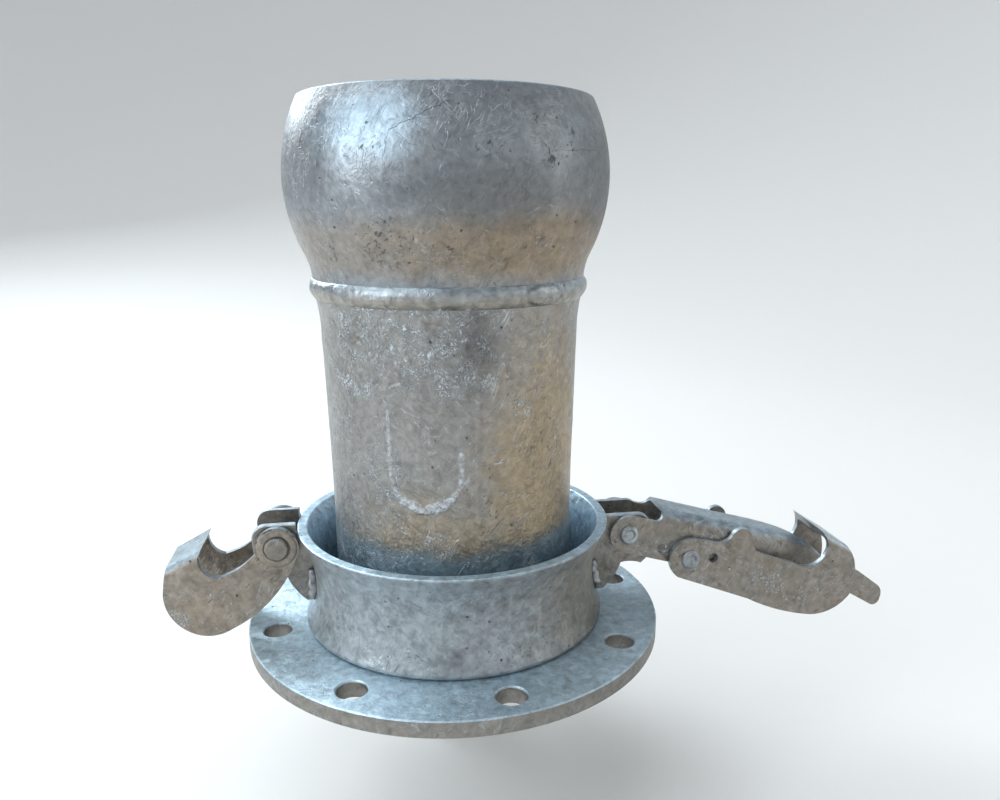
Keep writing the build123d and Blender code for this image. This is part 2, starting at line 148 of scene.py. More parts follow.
class Graph:
    """One material's node tree."""

    def __init__(self, name: str) -> None:
        """Start an empty material.

        Args:
            name: The material's name.
        """
        self.material = bpy.data.materials.new(name)
        self.material.use_nodes = True
        self.tree = self.material.node_tree
        self.tree.nodes.clear()
        coordinates = self.node("ShaderNodeTexCoord").outputs
        self.place = coordinates["Object"]
        self.facing = coordinates["Normal"]

    def node(self, kind: str, settings: dict[str, object] | None = None,
             inputs: dict[int | str, object] | None = None) -> bpy.types.Node:
        """Add any node.

        Args:
            kind: The node's type.
            settings: Its settings, set before its sockets.
            inputs: Values or links of its sockets, by index or name.

        Returns:
            The node.
        """
        made = self.tree.nodes.new(kind)
        for key, value in (settings or {}).items():
            setattr(made, key, value)
        for key, value in (inputs or {}).items():
            if isinstance(value, Value):
                self.tree.links.new(value.socket, made.inputs[key])
            elif isinstance(value, bpy.types.NodeSocket):
                self.tree.links.new(value, made.inputs[key])
            else:
                made.inputs[key].default_value = value
        return made

    def parts(self, vector: bpy.types.NodeSocket) -> tuple[Value, Value, Value]:
        """The three components of a vector."""
        split = self.node("ShaderNodeSeparateXYZ", None, {0: vector})
        return tuple(Value(self, split.outputs[index]) for index in range(3))

    def turned(self, turn: Triple, stretch: Triple, centre: Triple = ORIGIN) -> bpy.types.NodeSocket:
        """Object coordinates that are turned and stretched about a centre.

        Args:
            turn: Rotation in degrees about X, Y and Z.
            stretch: Scale of each axis.
            centre: The point moved to the origin.

        Returns:
            The new coordinates.
        """
        moved = self.node("ShaderNodeVectorMath", {"operation": "SUBTRACT"}, {0: self.place, 1: centre})
        rotation = tuple(math.radians(angle) for angle in turn)
        drawn_out = tuple(1.0 / amount for amount in stretch)
        inputs = {"Vector": moved.outputs[0], "Rotation": rotation, "Scale": drawn_out}
        return self.node("ShaderNodeMapping", {"vector_type": "TEXTURE"}, inputs).outputs[0]

    def grain(self, size: float, detail: float = 2.0, turn: Triple = ORIGIN, stretch: Triple = EVEN,
              offset: float = 0.0, warp: float = 0.0) -> Value:
        """Noise from 0 to 1.

        Args:
            size: Feature size in metres.
            detail: Octaves.
            turn: Rotation of the pattern in degrees.
            stretch: Scale of each turned axis; below 1 draws the pattern out.
            offset: A shift that gives another pattern of the same kind.
            warp: Distortion.

        Returns:
            The noise.
        """
        vector = self.turned(turn, stretch, (offset, offset * 0.7, -offset * 0.4))
        inputs = {"Vector": vector, "Scale": 1.0 / size, "Detail": detail, "Distortion": warp}
        return Value(self, self.node("ShaderNodeTexNoise", {"noise_dimensions": "3D"}, inputs).outputs[0])

    def cells(self, size: float, offset: float = 0.0) -> tuple[Value, Value]:
        """Voronoi cells: the distance to the cell's centre and a number that is its own.

        Args:
            size: Cell size in metres.
            offset: A shift that gives another pattern of the same kind.

        Returns:
            The distance and the cell's number from 0 to 1.
        """
        vector = self.turned(ORIGIN, EVEN, (offset, -offset, offset * 0.5))
        made = self.node("ShaderNodeTexVoronoi", {"feature": "F1"}, {"Vector": vector, "Scale": 1.0 / size})
        red = self.node("ShaderNodeSeparateColor", None, {0: made.outputs["Color"]}).outputs[0]
        return Value(self, made.outputs["Distance"]), Value(self, red)

    def mix(self, share: Number, first: object, second: object) -> bpy.types.NodeSocket:
        """Blend two colours.

        Args:
            share: How much of the second, from 0 to 1.
            first: A colour or a colour socket.
            second: A colour or a colour socket.

        Returns:
            The blended colour.
        """
        first, second = ((*c, 1.0) if isinstance(c, tuple) else c for c in (first, second))
        settings = {"data_type": "RGBA", "clamp_factor": True}
        return self.node("ShaderNodeMix", settings, {0: share, 6: first, 7: second}).outputs[2]

    def tinted(self, colour: bpy.types.NodeSocket, gain: Value) -> bpy.types.NodeSocket:
        """A colour made lighter or darker by a number round 1."""
        scaled = self.node("ShaderNodeVectorMath", {"operation": "SCALE"}, {0: colour, "Scale": gain})
        return scaled.outputs[0]

    def bump(self, height: Value, distance: float, strength: float = 1.0,
             normal: bpy.types.NodeSocket | None = None) -> bpy.types.NodeSocket:
        """Tilt the normal by a height.

        Args:
            height: The height, from 0 to 1.
            distance: What a height of 1 is, in metres.
            strength: How much of the bump is used.
            normal: A normal from an earlier bump.

        Returns:
            The new normal.
        """
        inputs: dict[int | str, object] = {"Height": height, "Distance": distance, "Strength": strength}
        if normal is not None:
            inputs["Normal"] = normal
        return self.node("ShaderNodeBump", None, inputs).outputs[0]

    def shade(self, inputs: dict[int | str, object]) -> bpy.types.Material:
        """End the material with its shader.

        Args:
            inputs: Values or links of the shader's sockets.

        Returns:
            The material.
        """
        shader = self.node("ShaderNodeBsdfPrincipled", None, inputs)
        self.node("ShaderNodeOutputMaterial", None, {0: shader.outputs[0]})
        return self.material

    def scratches(self, angle: float, size: float, width: float, cover: float, offset: float) -> Value:
        """Fine, nearly straight scratches that come and go.

        Args:
            angle: Their direction in degrees from the pipe's axis, as seen from the front.
            size: Their spacing in metres.
            width: How thick they are, as a share of the pattern.
            cover: The share of the surface that has them, from 0 to 1.
            offset: A shift that gives another set.

        Returns:
            1 on a scratch and 0 beside it.
        """
        line = self.grain(size, 1.0, (0.0, angle, angle * 0.3), (1.0, 1.0, 0.10), offset, 0.4)
        area = self.grain(0.016, 2.0, (0.0, angle, 0.0), (1.0, 1.0, 0.4), offset + 1.3)
        return abs(line - 0.5).smooth(width, 0.0) * area.smooth(0.66 - cover * 0.2, 0.74 - cover * 0.2)

    def patch(self, angle: float, half_angle: float, height: float, half_height: float,
              ragged: float = 0.5) -> Value:
        """A soft-edged patch on a surface round the pipe's axis.

        Args:
            angle: Its middle, in degrees round the axis from the front.
            half_angle: Half its width in degrees.
            height: Its middle height in metres.
            half_height: Half its height in metres.
            ragged: How far its edge wanders.

        Returns:
            1 inside the patch, fading to 0.
        """
        x, y, z = self.parts(self.place)
        turn = math.radians(angle)
        ahead, aside = x * math.sin(turn) - y * math.cos(turn), x * math.cos(turn) + y * math.sin(turn)
        across = aside.angle_from(ahead) / half_angle
        up = (z - height) / half_height
        edge = (self.grain(0.014, 3.0, offset=angle * 0.01) - 0.5) * (2.0 * ragged)
        return ((across * across + up * up).root() + edge).smooth(1.25, 0.30)

    def strongest(self, base: Value, *patches: tuple[float, ...]) -> Value:
        """The largest of a value and some patches.

        Args:
            base: The value.
            patches: Each patch's weight, followed by what patch takes.

        Returns:
            The largest at each point.
        """
        for weight, *place in patches:
            base = base.larger(self.patch(*place) * weight)
        return base


# ---------------------------------------------------------------- finishes


@dataclass(frozen=True)
class Zinc:
    """A galvanised surface with painted light: a cool painted sky sheen where it faces up and a warmer painted
    reflection on its sides, over its own tan, spangle and wear.
    """

    name: str
    # cool is the colour of the painted sky sheen and painted highlights; warm is partly the coat's own tan, partly a
    # painted warm reflection.
    cool: Colour = (0.37, 0.45, 0.52)
    side: Colour = (0.28, 0.285, 0.285)
    warm: Colour = (0.29, 0.245, 0.190)
    dark: Colour = (0.050, 0.048, 0.046)
    pale: Colour = (0.52, 0.57, 0.61)
    metallic: float = 0.82
    roughness: float = 0.40
    clouding: float = 0.30
    spangle: float = 0.10
    spangle_size: float = 0.009
    warm_share: float = 0.35
    scratch_cover: float = 0.45
    pit_cover: float = 0.5
    nick_cover: float = 0.45
    frost_cover: float = 0.35
    lump_height: float = 0.35
    streaks: float = 0.30
    mottle: float = 1.35
    painted_sheen_share: float = 0.75
    relief_depth: float = 0.0007
    lump_depth: float = 0.0012
    offset: float = 0.0

    def tan_and_warm_reflection(self, graph: Graph) -> Value:
        """Where the coat looks tan: a painted warm reflection on faces that look sideways or down, with random tan
        clouds.
        """
        up = graph.parts(graph.facing)[2]
        cloud = graph.grain(0.045, 3.0, offset=self.offset + 3.0)
        return (up.smooth(0.55, -0.5) * self.warm_share + (cloud - 0.5) * 0.55 * self.warm_share).larger(0.0)

    def shadow(self, graph: Graph) -> Value:
        """Where the coat is stained dark."""
        return graph.grain(0.035, 4.0, offset=self.offset + 5.0).smooth(0.60, 0.82) * 0.35

    def smudge(self, graph: Graph) -> Value:
        """Where dark flecks crowd together."""
        return graph.grain(0.045, 2.0, offset=self.offset + 4.9).smooth(0.52, 0.70) * 0.6 * self.pit_cover

    def painted_sheen(self, graph: Graph) -> Value:
        """Painted sky sheen: bright where a face looks up."""
        up = graph.parts(graph.facing)[2]
        return up.smooth(0.35, 0.92) * self.painted_sheen_share

    def frost_and_glint(self, graph: Graph) -> Value:
        """Where whitish zinc salts cover the coat."""
        fine = graph.grain(0.006, 5.0, offset=self.offset + 8.0)
        broad = graph.grain(0.05, 2.0, offset=self.offset + 9.0)
        return (fine * 0.6 + broad * 0.6).smooth(0.78 - 0.14 * self.frost_cover, 0.92) * self.frost_cover

    def lines(self, graph: Graph, cover: float, *sets: tuple[float, float, float, float]) -> Value:
        """Some sets of scratches.

        Args:
            graph: The material's graph.
            cover: The share of the surface that has them, from 0 to 1.
            sets: Each set's direction, spacing, width and shift.

        Returns:
            1 on a scratch and 0 beside it.
        """
        made = [graph.scratches(angle, size, width, cover, self.offset + shift) for angle, size, width, shift in sets]
        return reduce(Value.larger, made)

    def make(self) -> bpy.types.Material:
        """Build the material.

        Returns:
            The finished material.
        """
        graph = Graph(self.name)
        off = self.offset
        broad = graph.grain(0.060, 3.0, offset=off)
        fine = graph.grain(0.0035, 4.0, offset=off + 0.4)
        cell = graph.cells(self.spangle_size, off)[1]
        run = graph.grain(0.010, 3.0, ORIGIN, (1.0, 1.0, 0.12), off + 0.9)
        # The next three masks paint light as well as real tone: a painted warm reflection on faces that look sideways
        # or down over real tan, stains together with painted shade, and a painted sky sheen or highlight.
        tan_and_warm_reflection = self.tan_and_warm_reflection(graph)
        shadow = self.shadow(graph)
        painted_sheen = self.painted_sheen(graph)
        frost_and_glint = self.frost_and_glint(graph)
        marks = self.lines(graph, self.scratch_cover, (28.0, 0.0030, 0.030, 0.2), (-48.0, 0.0036, 0.026, 0.6),
                           (76.0, 0.0042, 0.022, 1.1))
        nicks = self.lines(graph, self.nick_cover, (-58.0, 0.0026, 0.011, 1.7), (40.0, 0.0030, 0.009, 2.3))
        pit_distance, pit_number = graph.cells(0.008, off + 2.0)
        pits = pit_distance.smooth(0.15, 0.06) * pit_number.smooth(1.0 - 0.50 * self.pit_cover, 1.0)
        flecks = graph.grain(0.0026, 4.0, (0.0, 38.0, 0.0), (1.0, 1.0, 0.42), off + 4.2, 0.5).smooth(0.565, 0.65)
        smudge = self.smudge(graph)

        # The side colour takes tan and the painted warm reflection, then the painted sheen colour.
        tone = graph.mix(tan_and_warm_reflection, self.side, self.warm)
        tone = graph.mix(painted_sheen, tone, self.cool)
        gain = 1.0 + (broad - 0.5) * self.clouding + (cell - 0.5) * self.spangle
        gain = gain + (fine - 0.5) * 0.40 + (run - 0.5) * self.streaks
        mottle = graph.grain(0.0065, 5.0, offset=off + 2.6, warp=0.5)
        gain = (gain + (mottle - 0.5) * self.mottle).larger(0.3)
        tone = graph.tinted(tone, gain)
        tone = graph.mix(frost_and_glint, tone, self.pale)
        tone = graph.mix(marks * 0.34, tone, self.pale)
        # Darkening: stains together with painted shade, then pits, dark flecks and nicks.
        grime_and_shade = (shadow * (0.80 + flecks * 0.3)).larger(pits * 0.9)
        grime_and_shade = grime_and_shade.larger(smudge * flecks * 0.75).larger(nicks * 0.55)
        tone = graph.mix(grime_and_shade, tone, self.dark)

        rough = self.roughness + (broad - 0.5) * 0.22 + (cell - 0.5) * 0.10 + (fine - 0.5) * 0.16
        rough = rough + frost_and_glint * 0.22 + grime_and_shade * 0.25 - marks * 0.06
        metal = self.metallic - frost_and_glint * 0.30 - grime_and_shade * 0.45
        lumps = graph.grain(0.012, 3.0, offset=off + 7.0)
        normal = graph.bump(lumps, self.lump_depth * self.lump_height)
        relief = fine * 0.55 + mottle * 0.6 + frost_and_glint * 0.9 - pits * 0.9 - marks * 0.25 - grime_and_shade * 0.2
        normal = graph.bump(relief, self.relief_depth, 0.9, normal)
        return graph.shade({"Base Color": tone, "Metallic": metal, "Roughness": rough, "Normal": normal})


@dataclass(frozen=True)
class PipeZinc(Zinc):
    """The pipe's coat: rough and pale at the upper left with painted glints on its crests, golden at the right from a
    painted warm reflection over its tan, and brushed.
    """

    def tan_and_warm_reflection(self, graph: Graph) -> Value:
        """Tan over the right half, round the foot and at the back, largely a painted warm reflection; none on the
        foot's cool band.
        """
        right = graph.patch(42.0, 38.0, 0.150, 0.125, 0.4)
        foot = graph.patch(-14.0, 46.0, 0.085, 0.060, 0.5)
        back = graph.patch(160.0, 70.0, 0.170, 0.110, 0.5) + graph.patch(-160.0, 60.0, 0.120, 0.090, 0.5)
        warm = right.larger(foot * 0.75).larger(back * 0.8) + super().tan_and_warm_reflection(graph) * 0.4
        return warm * (1.0 - self.foot(graph))

    def foot(self, graph: Graph) -> Value:
        """1 at the pipe's foot, which takes a cool painted reflection instead of tan."""
        wander = (graph.grain(0.030, 3.0, offset=self.offset + 2.2) - 0.5) * 0.016
        return (graph.parts(graph.place)[2] + wander).smooth(0.106, 0.092)

    def painted_sheen(self, graph: Graph) -> Value:
        """Painted cool reflection at the foot, over the painted sky sheen."""
        return self.foot(graph).larger(super().painted_sheen(graph))

    def shadow(self, graph: Graph) -> Value:
        """Painted shade beside the rough patch, over weaker random stains."""
        return graph.strongest(super().shadow(graph) * 0.6, (0.60, 5.0, 10.0, 0.250, 0.032, 0.8))

    def smudge(self, graph: Graph) -> Value:
        """Flecks along the seam low at the front, at the left foot and at the right."""
        return graph.strongest(
            super().smudge(graph), (1.0, 10.0, 5.0, 0.112, 0.045, 0.9), (0.7, -60.0, 16.0, 0.105, 0.045, 0.8),
            (0.8, 36.0, 20.0, 0.172, 0.020, 0.9))

    @staticmethod
    def record(graph: Graph, name: str) -> Value:
        """The mesh's own record of where the crust or the run is."""
        return Value(graph, graph.node("ShaderNodeAttribute", {"attribute_name": name}).outputs["Fac"])

    def frost_and_glint(self, graph: Graph) -> Value:
        """Pale wriggling crests on the rough patch, painted as glints on the crust, and the pale dried run; with
        weaker zinc salts.
        """
        ridge = abs(graph.grain(0.0050, 2.0, offset=self.offset + 8.3, warp=1.6) - 0.5).smooth(0.050, 0.008)
        crowd = graph.grain(0.014, 2.0, offset=self.offset + 8.9).smooth(0.40, 0.56)
        crests = self.record(graph, "crust").smooth(0.04, 0.45) * ridge * crowd
        broken = graph.grain(0.0032, 4.0, offset=self.offset + 9.4, warp=0.8).smooth(0.36, 0.60)
        run = self.record(graph, "run") * (broken * 0.60 + 0.16)
        return crests.larger(run).larger(super().frost_and_glint(graph) * 0.5)


@dataclass(frozen=True)
class BallZinc(Zinc):
    """The ball's coat: a painted bright sheen above, painted shade across the middle, and warm brown above the neck,
    partly tan and partly a painted warm reflection.
    """

    scuffs: tuple[tuple[float, float, float, float], ...] = (
        (9.0, 7.0, 0.3775, 0.010), (27.5, 5.0, 0.3735, 0.009), (-29.0, 6.0, 0.3790, 0.005),
        (-51.0, 4.0, 0.312, 0.013), (-27.0, 15.0, 0.322, 0.022), (-6.0, 9.0, 0.318, 0.010),
        (38.0, 5.0, 0.385, 0.012), (25.0, 3.0, 0.397, 0.006), (22.0, 10.0, 0.321, 0.008))

    def tan_and_warm_reflection(self, graph: Graph) -> Value:
        """Tan over the ball's lower third, strongest at the right front, partly a painted warm reflection."""
        z = graph.parts(graph.place)[2]
        wander = (graph.grain(0.030, 3.0, offset=1.7) - 0.5) * 0.022
        band = (z + wander).smooth(0.345, 0.325) * (z + wander).smooth(0.290, 0.305)
        side = graph.patch(30.0, 60.0, 0.318, 0.040, 0.3)
        return band * 0.55 + side * 0.45

    def shadow(self, graph: Graph) -> Value:
        """Painted shade: a dim belt across the middle and the right, over weaker random stains."""
        return graph.strongest(super().shadow(graph) * 0.6, (0.52, 8.0, 36.0, 0.352, 0.028, 0.5),
                               (0.60, 68.0, 40.0, 0.362, 0.056, 0.4))

    def smudge(self, graph: Graph) -> Value:
        """Scuffs high on the front and an oblique one above the neck."""
        return graph.strongest(super().smudge(graph), *((1.0, *scuff, 0.8) for scuff in self.scuffs))

    def painted_sheen(self, graph: Graph) -> Value:
        """Painted highlight: bright and bluish towards the mouth, most at the upper left and the right."""
        return graph.strongest(super().painted_sheen(graph), (0.65, -32.0, 22.0, 0.393, 0.024, 0.6),
                               (0.10, 46.0, 14.0, 0.385, 0.030, 0.6))


@dataclass(frozen=True)
class PlateZinc(Zinc):
    """A bent or cut plate whose sawn edges carry a painted highlight brighter than its cheeks, which face along Y."""

    pins: tuple[tuple[float, float, float], ...] = ()

    def painted_sheen(self, graph: Graph) -> Value:
        """Painted highlight: bright on every edge and fold, where the face no longer looks along Y, and most where it
        looks up.
        """
        _, across, up = graph.parts(graph.facing)
        return abs(across).smooth(0.93, 0.60) * (0.35 + up.smooth(-0.1, 0.6) * 0.65)

    def tan_and_warm_reflection(self, graph: Graph) -> Value:
        """Tan all over the cheeks."""
        cloud = graph.grain(0.022, 3.0, offset=self.offset + 3.0)
        return self.warm_share + (cloud - 0.5) * 0.8

    def smudge(self, graph: Graph) -> Value:
        """Dark flecks in a ring just outside each pin's boss."""
        total = super().smudge(graph)
        x, _, z = graph.parts(graph.place)
        for pin_x, pin_z, radius in self.pins:
            distance = ((x - pin_x) * (x - pin_x) + (z - pin_z) * (z - pin_z)).root()
            total = total.larger(distance.smooth(radius - 0.001, radius) * distance.smooth(radius + 0.008, radius))
        return total


@dataclass(frozen=True)
class RingZinc(Zinc):
    """The closing ring's coat: a flat rim made pale by a painted sheen, a grey-tan wall with painted shade and a
    painted warm reflection at its right, and a dark bluish inside from a painted reflection.
    """

    def inward(self, graph: Graph) -> Value:
        """1 on the ring's inside."""
        x, y, _ = graph.parts(graph.place)
        nx, ny, _ = graph.parts(graph.facing)
        return (x * nx + y * ny).smooth(-0.01, -0.06)

    def tan_and_warm_reflection(self, graph: Graph) -> Value:
        """Tan at the right of the wall, a painted warm reflection, over the base tan; none inside."""
        right = graph.patch(58.0, 40.0, 0.055, 0.080, 0.4)
        return (right * 0.75 + super().tan_and_warm_reflection(graph) * 0.5) * (1.0 - self.inward(graph))

    def painted_sheen(self, graph: Graph) -> Value:
        """Painted sheen: bright on the rim, and a bluish painted reflection inside."""
        return (self.inward(graph) * 0.9).larger(super().painted_sheen(graph))

    def shadow(self, graph: Graph) -> Value:
        """Dark stains in blotches on the wall, with painted shade at its right; none inside."""
        blotch = graph.grain(0.020, 4.0, offset=self.offset + 5.0).smooth(0.56, 0.76) * 0.48
        marked = graph.strongest(blotch, (0.30, -7.0, 7.0, 0.028, 0.012, 0.7), (0.34, 62.0, 36.0, 0.055, 0.080, 0.4))
        return marked * (1.0 - self.inward(graph))


@dataclass(frozen=True)
class FlangeZinc(Zinc):
    """The flange's coat: scratched on top and made pale there by a painted sheen, browner round its edge and in its
    holes from a painted warm reflection.
    """

    def tan_and_warm_reflection(self, graph: Graph) -> Value:
        """Brown on the edge and the walls of the holes, a painted warm reflection on faces that look sideways, with
        random clouds.
        """
        up = graph.parts(graph.facing)[2]
        cloud = graph.grain(0.030, 3.0, offset=self.offset + 3.0)
        return up.smooth(0.85, 0.2) * 0.75 + (cloud - 0.5) * 0.5

    def painted_sheen(self, graph: Graph) -> Value:
        """Painted sheen: bright on top, most at the left."""
        left = graph.patch(-82.0, 62.0, 0.0135, 0.06, 0.3)
        return super().painted_sheen(graph) * (0.85 + left * 0.55)

    def shadow(self, graph: Graph) -> Value:
        """Stained in blotches, with painted shade dulling the right."""
        return graph.strongest(super().shadow(graph), (0.28, 66.0, 48.0, 0.0135, 0.06, 0.3))


# ---------------------------------------------------------------- mesh tools


def drift(point: Vector, size: float, seed: float) -> float:
    """Smooth noise from about -1 to 1.

    Args:
        point: Where, in metres.
        size: Feature size in metres.
        seed: A shift that gives another pattern.

    Returns:
        The noise.
    """
    return noise.noise(point / size + Vector((seed, seed * 1.7, seed * 0.6)))


def fade(value: float, low: float, high: float) -> float:
    """A soft step that is 0 at low and 1 at high, in either order."""
    share = min(1.0, max(0.0, (value - low) / (high - low)))
    return share * share * (3.0 - 2.0 * share)


def link_object(name: str, data: bpy.types.ID) -> bpy.types.Object:
    """Put a mesh, a light or a camera in the scene."""
    made = bpy.data.objects.new(name, data)
    bpy.context.scene.collection.objects.link(made)
    return made


def close_up(mesh: bmesh.types.BMesh, distance: float = MERGE_DISTANCE) -> bmesh.types.BMesh:
    """Merge a mesh's doubled vertices and turn its faces outwards.

    Args:
        mesh: The mesh.
        distance: How close two vertices are when they merge.

    Returns:
        The same mesh.
    """
    bmesh.ops.remove_doubles(mesh, verts=mesh.verts[:], dist=distance)
    bmesh.ops.recalc_face_normals(mesh, faces=mesh.faces[:])
    return mesh


def spin_loop(mesh: bmesh.types.BMesh, points: Sequence[Vector | Triple], axis: Triple, centre: Vector | Triple,
              steps: int, cuts: Sequence[int] = ()) -> None:
    """Add a closed outline that is turned all the way round an axis.

    Args:
        mesh: The mesh that takes it.
        points: The outline's corners.
        axis: The axis.
        centre: A point on the axis.
        steps: How many steps the turn has.
        cuts: How often each side of the outline is cut, if the mesh holds nothing else.
    """
    corners = [mesh.verts.new(point) for point in points]
    edges = [mesh.edges.new(pair) for pair in zip(corners, corners[1:] + corners[:1])]
    for edge, count in zip(edges, cuts):
        if count:
            bmesh.ops.subdivide_edges(mesh, edges=[edge], cuts=count)
    geom = mesh.verts[:] + mesh.edges[:] if cuts else corners + edges
    bmesh.ops.spin(mesh, geom=geom, axis=axis, cent=centre, angle=math.tau, steps=steps, use_merge=True)


def add_piece(name: str, mesh: bmesh.types.BMesh, material: bpy.types.Material, body: Body,
              stands_for: Sequence[str] = ()) -> bpy.types.Object:
    """Turn a bmesh into a piece of the coupling.

    Args:
        name: The piece's name.
        mesh: Its shape, in place; it is freed.
        material: Its finish.
        body: The CAD body it rides on.
        stands_for: CAD nodes that it replaces.

    Returns:
        The object.
    """
    data = bpy.data.meshes.new(name)
    for face in mesh.faces:
        face.smooth = True
    mesh.to_mesh(data)
    mesh.free()
    data.materials.append(material)
    piece = link_object(name, data)
    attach(piece, body.value)
    if stands_for:
        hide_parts(*stands_for)
    log.info("%s: %d faces", name, len(data.polygons))
    return piece


def dress(node: str, material: bpy.types.Material) -> None:
    """Give a CAD node its finish through its material slots.

    Args:
        node: The CAD node's name.
        material: Its finish.
    """
    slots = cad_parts[node].material_slots
    for slot in slots:
        slot.material = material
    if not slots:
        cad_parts[node].data.materials.append(material)
    log.info("%s: dressed in %s", node, material.name)


def spun_shell(profile: Sequence[tuple[float, float]], cuts: Sequence[int], steps: int) -> bmesh.types.BMesh:
    """A closed shell turned round the pipe's axis, whose surface may then be worked.

    Args:
        profile: Its outline, as radii and heights in millimetres.
        cuts: How often each side of the outline is cut.
        steps: How many steps the turn has.

    Returns:
        The shell's bmesh, with outward normals.
    """
    mesh = bmesh.new()
    spin_loop(mesh, [(radius * MM, 0.0, height * MM) for radius, height in profile], UPWARD, ORIGIN, steps, cuts)
    return close_up(mesh)


def set_down(mesh: bmesh.types.BMesh, verts: list[bmesh.types.BMVert], stretch: Vector | Triple, turn: Matrix,
             spot: Vector | Triple) -> None:
    """Stretch, turn and move a shape that was made at the origin.

    Args:
        mesh: The mesh that holds it.
        verts: Its vertices.
        stretch: Scale of each axis.
        turn: Its rotation.
        spot: Its place.
    """
    bmesh.ops.scale(mesh, verts=verts, vec=stretch)
    bmesh.ops.rotate(mesh, verts=verts, cent=ORIGIN, matrix=turn)
    bmesh.ops.translate(mesh, verts=verts, vec=spot)


def round_axis(point: Vector) -> tuple[float, float, float]:
    """A point's angle in degrees from the front, its distance from the axis, and its height."""
    return math.degrees(math.atan2(point.x, -point.y)), math.hypot(point.x, point.y), point.z


def push_out(mesh: bmesh.types.BMesh, height_at: Callable[[Vector], float]) -> None:
    """Move every vertex along its normal.

    Args:
        mesh: The mesh to work.
        height_at: The height in metres at a point.
    """
    mesh.normal_update()
    moves = [(vertex, vertex.normal * height_at(vertex.co)) for vertex in mesh.verts]
    for vertex, move in moves:
        vertex.co += move


# ---------------------------------------------------------------- flange, pipe and ball


@dataclass
class Flange:
    """The drilled flange, its welds and the tool marks in its holes."""

    finish: Zinc = FlangeZinc("flange_coat", side=(0.33, 0.39, 0.43), warm=(0.24, 0.205, 0.165),
                              cool=(0.62, 0.80, 0.92), painted_sheen_share=1.0, spangle_size=0.012, scratch_cover=0.8,
                              frost_cover=0.5, nick_cover=0.7, mottle=1.0,
                              roughness=0.42, offset=0.11)
    weld_finish: Zinc = Zinc("fillet_coat", cool=(0.40, 0.48, 0.55), side=(0.27, 0.29, 0.31), lump_height=0.8,
                             offset=0.83)
    hole_count: int = 8
    first_hole: float = -125.4
    circle_radius: float = 147.5
    hole_radius: float = 11.5
    hole_low: float = 1.0
    hole_high: float = 12.5
    groove_depth: float = 0.28
    crest_share: float = 0.25
    sunk: float = 0.3
    grooves: int = 9
    hole_steps: int = 40
    weld_foot: tuple[float, float] = (96.6, 13.5)
    weld_leg: float = 8.4

    def build(self) -> None:
        """Dress the plate and its bore weld, and build the top weld and the tool marks."""
        coat = self.finish.make()
        bead = self.weld_finish.make()
        dress("flange_plate", coat)
        dress("flange_bore_weld", bead)
        add_piece("flange_hole_marks", self._hole_marks(), coat, Body.BASE)
        add_piece("flange_fillet_bead", self._fillet(), bead, Body.BASE, ["flange_top_weld"])

    def _hole_marks(self) -> bmesh.types.BMesh:
        """Grooves that the drill left in the holes' walls.

        Returns:
            One mesh with a grooved lining for each hole.
        """
        mesh = bmesh.new()
        levels = 2 * self.grooves
        rise = (self.hole_high - self.hole_low) / levels
        wall = [(self.hole_radius - self.groove_depth * (1.0 if level % 2 else self.crest_share),
                 self.hole_low + rise * level) for level in range(levels + 1)]
        wall += [(self.hole_radius + self.sunk, height) for height in (self.hole_high, self.hole_low)]
        for index in range(self.hole_count):
            angle = math.radians(self.first_hole + index * 360.0 / self.hole_count)
            centre = Vector((math.cos(angle), math.sin(angle), 0.0)) * self.circle_radius * MM
            line = [centre + Vector((radius * MM, 0.0, height * MM)) for radius, height in wall]
            spin_loop(mesh, line, UPWARD, centre, self.hole_steps)
        return close_up(mesh)

    def _fillet(self) -> bmesh.types.BMesh:
        """The lumpy fillet between pipe and flange.

        Returns:
            The bead's bmesh.
        """
        radius, height = self.weld_foot
        leg = self.weld_leg
        mesh = spun_shell(
            [(radius - 0.4, height - 0.4), (radius + leg, height - 0.2), (radius + 0.45 * leg, height + 0.42 * leg),
             (radius - 0.4, height + leg)], [1, 4, 4, 1], 260)

        def height_at(point: Vector) -> float:
            """Ripples of the bead, none at its root."""
            angle, distance, level = round_axis(point)
            clear = fade(distance - radius * MM, 0.0, 0.002) * fade(level - height * MM, 0.0, 0.002)
            ripple = 0.5 * math.sin(math.radians(angle) * 96.0 + 3.0 * drift(point, 0.02, 1.0))
            return clear * (0.0004 * ripple + 0.0007 * drift(point, 0.008, 2.0))

        push_out(mesh, height_at)
        return mesh


